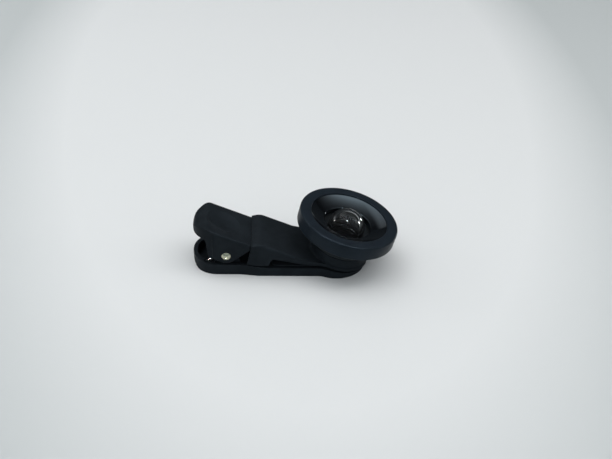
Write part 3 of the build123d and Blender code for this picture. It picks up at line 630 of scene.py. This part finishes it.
class PHONELENS_OT_front_ring(PhoneLensPiece, bpy.types.Operator):
    """The wide front ring, with rounded outer edges and a thin inner lip"""

    bl_idname = "phone_lens.front_ring"
    bl_label = "Front ring"

    def make(self, sizes, colours):
        satin = black_finish(
            "ring_satin", colours.rim,
            rough=(0.34, 0.44), grain=2600, depth=0.004 * MM, lift=1.25, specular=0.08,
        )
        outer = sizes.rim_radius / MM
        slope = BOWL_BACK_DROP / (BOWL_RADIUS - BOWL_HOLE)
        bm = profile([
            (RING_BORE, RING_HUB_LOW), (RING_HUB, RING_HUB_LOW), (RING_HUB, RING_LOW), (outer, RING_LOW),
            (outer, RING_TOP), (RING_INNER, RING_TOP), (RING_INNER, BOWL_BACK),
            (RING_BORE, BOWL_BACK - (BOWL_RADIUS - RING_BORE) * slope),
        ])
        big = sizes.rim_round
        rounds = [
            (outer * MM, RING_TOP * MM, big, 6),
            (outer * MM, RING_LOW * MM, big * 0.7, 5),
            (RING_INNER * MM, RING_TOP * MM, 0.22 * MM, 3),
            (RING_HUB * MM, RING_LOW * MM, 0.4 * MM, 3),
            (RING_HUB * MM, RING_HUB_LOW * MM, 0.12 * MM, 2),
        ]
        turned_piece(bm, sizes.turn_steps, lens_place(sizes), rounds)
        ring = finish_mesh(bm, "front_ring", "lens", satin)
        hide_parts("rim_ring")


class PHONELENS_OT_bowl(PhoneLensPiece, bpy.types.Operator):
    """The polished dish between the front ring and the front glass"""

    bl_idname = "phone_lens.bowl"
    bl_label = "Bowl"

    def make(self, sizes, colours):
        gloss = black_finish(
            "bowl_gloss", colours.bowl,
            rough=(0.05, 0.10), grain=700, depth=0.001 * MM, lift=1.2, specular=0.6,
        )
        bm = bmesh.new()
        first = bm.verts.new((BOWL_RADIUS * MM, 0, BOWL_TOP * MM))
        vert = arc_through(bm, first, BOWL_MIDDLE, (BOWL_HOLE, BOWL_HOLE_TOP))
        vert = carried(bm, vert, ((BOWL_HOLE, BOWL_BACK - BOWL_BACK_DROP), (BOWL_RADIUS, BOWL_BACK)))
        bm.edges.new((vert, first))
        lip = (BOWL_HOLE * MM, BOWL_HOLE_TOP * MM, BOWL_LIP * MM, 3)
        turned_piece(bm, sizes.turn_steps, lens_place(sizes), [lip])
        bowl = finish_mesh(bm, "bowl_cone", "lens", gloss)
        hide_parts("bowl_ring")


class PHONELENS_OT_barrel(PhoneLensPiece, bpy.types.Operator):
    """The barrel with its base flange, groove and stepped bore"""

    bl_idname = "phone_lens.barrel"
    bl_label = "Barrel"

    def make(self, sizes, colours):
        satin = black_finish(
            "barrel_satin", colours.barrel,
            rough=(0.36, 0.46), grain=2600, depth=0.004 * MM, lift=1.25, specular=0.15,
        )
        bm = profile([
            (7.8, 1.3), (8.0, 1.5), (8.0, FLANGE_LOW), (FLANGE_RADIUS, FLANGE_LOW), (FLANGE_RADIUS, 6.6),
            (GROOVE_RADIUS, 6.75), (GROOVE_RADIUS, 7.05), (FLANGE_RADIUS, 7.2), (FLANGE_RADIUS, FLANGE_TOP),
            (9.9, FLANGE_TOP), (9.9, 12.1), (8.9, 12.1), (8.9, 9.8), (7.5, 9.8), (7.5, 6.8), (5.9, 6.8),
            (5.9, 6.0), (6.6, 6.0), (6.6, 1.5), (6.8, 1.3),
        ])
        rounds = [
            (FLANGE_RADIUS * MM, FLANGE_LOW * MM, 0.25 * MM, 3),
            (FLANGE_RADIUS * MM, FLANGE_TOP * MM, 0.3 * MM, 4),
        ]
        turned_piece(bm, sizes.turn_steps, lens_place(sizes), rounds)
        barrel = finish_mesh(bm, "barrel_body", "lens", satin)
        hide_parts("lens_barrel")


class PHONELENS_OT_glass(PhoneLensPiece, bpy.types.Operator):
    """The bulging front glass and the three lenses behind it"""

    bl_idname = "phone_lens.glass"
    bl_label = "Glass"

    def make(self, sizes, colours):
        clear = glass_finish(
            "front_glass", colours.front, index=1.52, coating=(0.13, 0.14, 0.15), clear=0.994,
        )
        inner = glass_finish(
            "inner_glass", colours.glass, index=1.58, coating=(0.10, 0.14, 0.12), clear=1.0,
        )
        place = lens_place(sizes)
        bm = bmesh.new()
        vert = bm.verts.new((0, 0, DOME_HOLLOW_TOP * MM))
        vert = cap_arc(bm, vert, DOME_HOLLOW, DOME_HOLLOW, False, 24)
        vert = carried(bm, vert, (
            (DOME_HOLLOW, DOME_FLANGE_LOW), (DOME_FLANGE, DOME_FLANGE_LOW), (DOME_FLANGE, DOME_FLANGE_TOP),
            (DOME_RADIUS, DOME_FLANGE_TOP), (DOME_RADIUS, DOME_SPRING_LINE),
        ))
        cap_arc(bm, vert, DOME_RADIUS, DOME_RADIUS, True, 40)
        turned_piece(bm, 128, place)
        dome = finish_mesh(bm, "front_glass_dome", "lens", clear)
        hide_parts("front_dome")
        edge = DOUBLET_EDGE
        crown_low = DOUBLET_TOP - DOUBLET_GAP - edge
        # The numbers are the radius, the edge's low height and its thickness, and the front and back sags
        lenses = (
            ("middle_glass", "middle_lens", (7.45, 8.0, 1.4, -0.4, 0.4)),
            ("crown_glass", "rear_crown_lens", (DOUBLET_RADIUS, crown_low, edge, 0.7, -0.5)),
            ("flint_glass", "rear_flint_lens", (DOUBLET_RADIUS, crown_low - edge, edge, -0.5, 0.2)),
        )
        for name, node, values in lenses:
            bm = glass_profile(*values)
            turned_piece(bm, 96, place)
            piece = finish_mesh(bm, name, "lens", inner)
            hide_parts(node)


class PHONELENS_OT_inner_rings(PhoneLensPiece, bpy.types.Operator):
    """Dull black on the rings, spacer and stop, and rubber on the seal"""

    bl_idname = "phone_lens.inner_rings"
    bl_label = "Inner rings"

    def make(self, sizes, colours):
        dull = black_finish(
            "inner_dull", colours.inner,
            rough=(0.5, 0.66), grain=1800, depth=0.006 * MM, lift=1.3, specular=0.4,
        )
        seal = black_finish(
            "seal_rubber", colours.rubber,
            rough=(0.6, 0.75), grain=1800, depth=0.006 * MM, lift=1.2, specular=0.3,
        )
        for name in (
            "dome_retaining_ring", "middle_retaining_ring", "front_spacer", "aperture_stop",
            "rear_retaining_ring",
        ):
            self.paint(name, dull)
        rounded_copy(
            "dome_seal", "glass_seal", "lens", seal, 0.06 * MM, segments=2, angle=50,
        )

    def paint(self, node, material):
        """Gives a CAD node's own mesh a material."""
        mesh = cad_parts[node].data
        mesh.materials.clear()
        mesh.materials.append(material)


class PHONELENS_OT_stage(PhoneLensPiece, bpy.types.Operator):
    """Pale table, soft studio light and the camera of the photograph"""

    bl_idname = "phone_lens.stage"
    bl_label = "Stage, light and camera"

    def make(self, sizes, colours):
        self.table(colours)
        self.world()
        self.softbox()
        self.lamps()
        self.camera(sizes)

    def table(self, colours):
        """A pale table with a pool of light painted into its colour, shaded darker towards the edges."""
        material, tree, shader = new_material("pale_table_painted_light_pool")
        coords = tree.nodes.new("ShaderNodeTexCoord")
        apart = tree.nodes.new("ShaderNodeSeparateXYZ")
        tree.links.new(coords.outputs["Object"], apart.inputs["Vector"])
        across = reckon(tree, "SUBTRACT", apart.outputs["X"], POOL_X)
        across = reckon(tree, "DIVIDE", across, POOL_HALF_WIDTH)
        along = reckon(tree, "SUBTRACT", apart.outputs["Y"], POOL_Y)
        along = reckon(tree, "DIVIDE", along, POOL_HALF_LENGTH)
        square = reckon(tree, "MULTIPLY_ADD", across, across, reckon(tree, "MULTIPLY", along, along))
        # Painted light and shade: the table's colour is full inside the ellipse and dims towards its edges
        fade = spread(tree, square, 0, 1, *POOL_FADE)
        base = tuple(colours.floor)
        dim = tuple(c * shade for c, shade in zip(base, POOL_EDGE_SHADE))
        tree.links.new(tinted(tree, fade, base, dim), shader.inputs["Base Color"])
        grain = noise(tree, 900, 3)
        bumped(tree, shader, grain, 0.004 * MM, 0.4)
        shader.inputs["Roughness"].default_value = 0.62
        shader.inputs["Specular IOR Level"].default_value = 0.25
        bm = bmesh.new()
        bmesh.ops.create_grid(bm, x_segments=8, y_segments=8, size=TABLE_HALF_SIZE)
        mesh = bpy.data.meshes.new("table_top")
        bm.to_mesh(mesh)
        bm.free()
        table = bpy.data.objects.new("table_top", mesh)
        bpy.context.scene.collection.objects.link(table)
        mesh.materials.append(material)

    def world(self):
        """Soft room light; shiny surfaces see a pale wall towards -Y and a dim room elsewhere."""
        world = bpy.data.worlds.new("room")
        bpy.context.scene.world = world
        world.use_nodes = True
        tree = world.node_tree
        tree.nodes.clear()
        out = tree.nodes.new("ShaderNodeOutputWorld")
        soft = tree.nodes.new("ShaderNodeBackground")
        soft.inputs["Color"].default_value = (0.93, 0.97, 1.0, 1)
        seen = tree.nodes.new("ShaderNodeBackground")
        seen.inputs["Color"].default_value = (0.80, 0.93, 1.0, 1)
        coords = tree.nodes.new("ShaderNodeTexCoord")
        apart = tree.nodes.new("ShaderNodeSeparateXYZ")
        tree.links.new(coords.outputs["Generated"], apart.inputs["Vector"])
        tree.links.new(spread(tree, apart.outputs["Z"], 0.25, 0.75, 0.0, 0.7), soft.inputs["Strength"])
        wall = spread(tree, apart.outputs["Y"], 0.45, 0.06, -0.5, 0.0)
        strength = reckon(tree, "MULTIPLY", wall, through_glass(tree, ROOM_THROUGH_GLASS))
        tree.links.new(strength, seen.inputs["Strength"])
        rays = tree.nodes.new("ShaderNodeLightPath")
        mix = tree.nodes.new("ShaderNodeMixShader")
        tree.links.new(rays.outputs["Is Glossy Ray"], mix.inputs["Fac"])
        tree.links.new(soft.outputs["Background"], mix.inputs[1])
        tree.links.new(seen.outputs["Background"], mix.inputs[2])
        tree.links.new(mix.outputs["Shader"], out.inputs["Surface"])

    def softbox(self):
        """A wide soft light overhead that fades towards the back and the right."""
        tree, glow = glowing("softbox_light")
        coords = tree.nodes.new("ShaderNodeTexCoord")
        apart = tree.nodes.new("ShaderNodeSeparateXYZ")
        tree.links.new(coords.outputs["Object"], apart.inputs["Vector"])
        fade = spread(tree, apart.outputs["X"], 0.60, 0.22, -0.12, 0.05)
        back = reckon(tree, "MAXIMUM", apart.outputs["Y"], 0.0)
        behind = reckon(tree, "DIVIDE", back, fade)
        right = reckon(tree, "MAXIMUM", apart.outputs["X"], 0.0)
        fall = reckon(tree, "MULTIPLY_ADD", right, -0.3, reckon(tree, "MULTIPLY", behind, -1.0))
        full = reckon(tree, "MULTIPLY", reckon(tree, "EXPONENT", fall), SOFTBOX_STRENGTH)
        strength = reckon(tree, "MULTIPLY", full, through_glass(tree, SOFTBOX_THROUGH_GLASS))
        tree.links.new(strength, glow.inputs["Strength"])
        self.light_panel("softbox", SOFTBOX_LOW, SOFTBOX_HIGH)

    def lamps(self):
        """A tube across the softbox and a lamp on each side, which mirrors see much brighter."""
        self.lamp_glow("tube", plain=1.5, mirrored=60.0)
        self.light_panel("tube", TUBE_LOW, TUBE_HIGH)
        for name, place, size, plain, mirrored in SIDE_LAMPS:
            self.lamp_glow(name, plain, mirrored)
            towards = Vector(place).normalized()
            bm = bmesh.new()
            bmesh.ops.create_circle(bm, cap_ends=True, segments=32, radius=size)
            turn = Vector((0, 0, 1)).rotation_difference(-towards).to_matrix()
            bmesh.ops.transform(bm, matrix=Matrix.Translation(towards) @ turn.to_4x4(), verts=bm.verts)
            self.shine(name, bm)

    def lamp_glow(self, name, plain, mirrored):
        """A lamp's material: its plain strength, and its strength in a mirror."""
        tree, glow = glowing(name + "_light")
        rays = tree.nodes.new("ShaderNodeLightPath")
        through = through_glass(tree, LAMPS_THROUGH_GLASS)
        shiny = reckon(tree, "MULTIPLY", rays.outputs["Is Glossy Ray"], through)
        strength = reckon(tree, "MULTIPLY_ADD", shiny, mirrored - plain, plain)
        tree.links.new(strength, glow.inputs["Strength"])

    def light_panel(self, name, low, high):
        """A flat panel that shines downwards between two corners."""
        bm = bmesh.new()
        bmesh.ops.create_grid(bm, x_segments=2, y_segments=2, size=1)
        bmesh.ops.scale(bm, vec=((high.x - low.x) / 2, (high.y - low.y) / 2, 1), verts=bm.verts)
        bmesh.ops.translate(bm, vec=(low + high) / 2, verts=bm.verts)
        bmesh.ops.reverse_faces(bm, faces=bm.faces)
        self.shine(name, bm)

    def shine(self, name, bm):
        """Makes a light's mesh part of the stage."""
        mesh = bpy.data.meshes.new(name)
        bm.to_mesh(mesh)
        bm.free()
        mesh.materials.append(bpy.data.materials[name + "_light"])
        panel = bpy.data.objects.new(name, mesh)
        bpy.context.scene.collection.objects.link(panel)

    def camera(self, sizes):
        """The photograph's camera, found from the front ring's ellipse and the outline."""
        level_reach = cos(CAMERA_ELEVATION)
        back = Vector((
            sin(CAMERA_AZIMUTH) * level_reach, -cos(CAMERA_AZIMUTH) * level_reach, sin(CAMERA_ELEVATION),
        ))
        right = Vector((cos(CAMERA_AZIMUTH), sin(CAMERA_AZIMUTH), 0))
        target = Vector((TARGET_PAST_PIN * MM + sizes.pin_x, 0, TARGET_HEIGHT * MM))
        up = back.cross(right)
        level = Matrix((right, up, back)).transposed().to_4x4()
        data = bpy.data.cameras.new("photo_camera")
        data.lens = FOCAL_PIXELS / PHOTO_WIDTH * SENSOR_WIDTH
        data.sensor_width = SENSOR_WIDTH
        data.clip_start = 0.01
        data.clip_end = 20
        camera = bpy.data.objects.new("photo_camera", data)
        turn = Matrix.Rotation(CAMERA_ROLL, 4, "Z")
        camera.matrix_world = Matrix.Translation(target + back * CAMERA_DISTANCE) @ level @ turn
        bpy.context.scene.collection.objects.link(camera)
        bpy.context.scene.camera = camera
        bpy.context.scene.view_settings.view_transform = "Standard"


class PHONELENS_PT_panel(bpy.types.Panel):
    """Sizes, colours and the pieces' operators"""

    bl_idname = "PHONELENS_PT_panel"
    bl_label = "Phone lens"
    bl_space_type = "VIEW_3D"
    bl_region_type = "UI"
    bl_category = "Phone lens"

    def draw(self, context):
        for group in (context.scene.phone_lens_sizes, context.scene.phone_lens_colours):
            column = self.layout.column(align=True)
            for name in group.__annotations__:
                column.prop(group, name)
        for piece in PIECES:
            self.layout.operator(piece.bl_idname)


PIECES = (
    PHONELENS_OT_arms,
    PHONELENS_OT_pads,
    PHONELENS_OT_pin,
    PHONELENS_OT_spring,
    PHONELENS_OT_front_ring,
    PHONELENS_OT_bowl,
    PHONELENS_OT_barrel,
    PHONELENS_OT_glass,
    PHONELENS_OT_inner_rings,
    PHONELENS_OT_stage,
)
CLASSES = (PhoneLensSizes, PhoneLensColours, *PIECES, PHONELENS_PT_panel)


def register():
    for cls in CLASSES:
        bpy.utils.register_class(cls)
    bpy.types.Scene.phone_lens_sizes = PointerProperty(type=PhoneLensSizes)
    bpy.types.Scene.phone_lens_colours = PointerProperty(type=PhoneLensColours)


def unregister():
    del bpy.types.Scene.phone_lens_colours
    del bpy.types.Scene.phone_lens_sizes
    for cls in reversed(CLASSES):
        bpy.utils.unregister_class(cls)


def main():
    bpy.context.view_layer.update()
    register()
    bpy.ops.phone_lens.arms()
    bpy.ops.phone_lens.pads()
    bpy.ops.phone_lens.pin()
    bpy.ops.phone_lens.spring()
    bpy.ops.phone_lens.front_ring()
    bpy.ops.phone_lens.bowl()
    bpy.ops.phone_lens.barrel()
    bpy.ops.phone_lens.glass()
    bpy.ops.phone_lens.inner_rings()
    bpy.ops.phone_lens.stage()


if __name__ == "__main__":
    main()
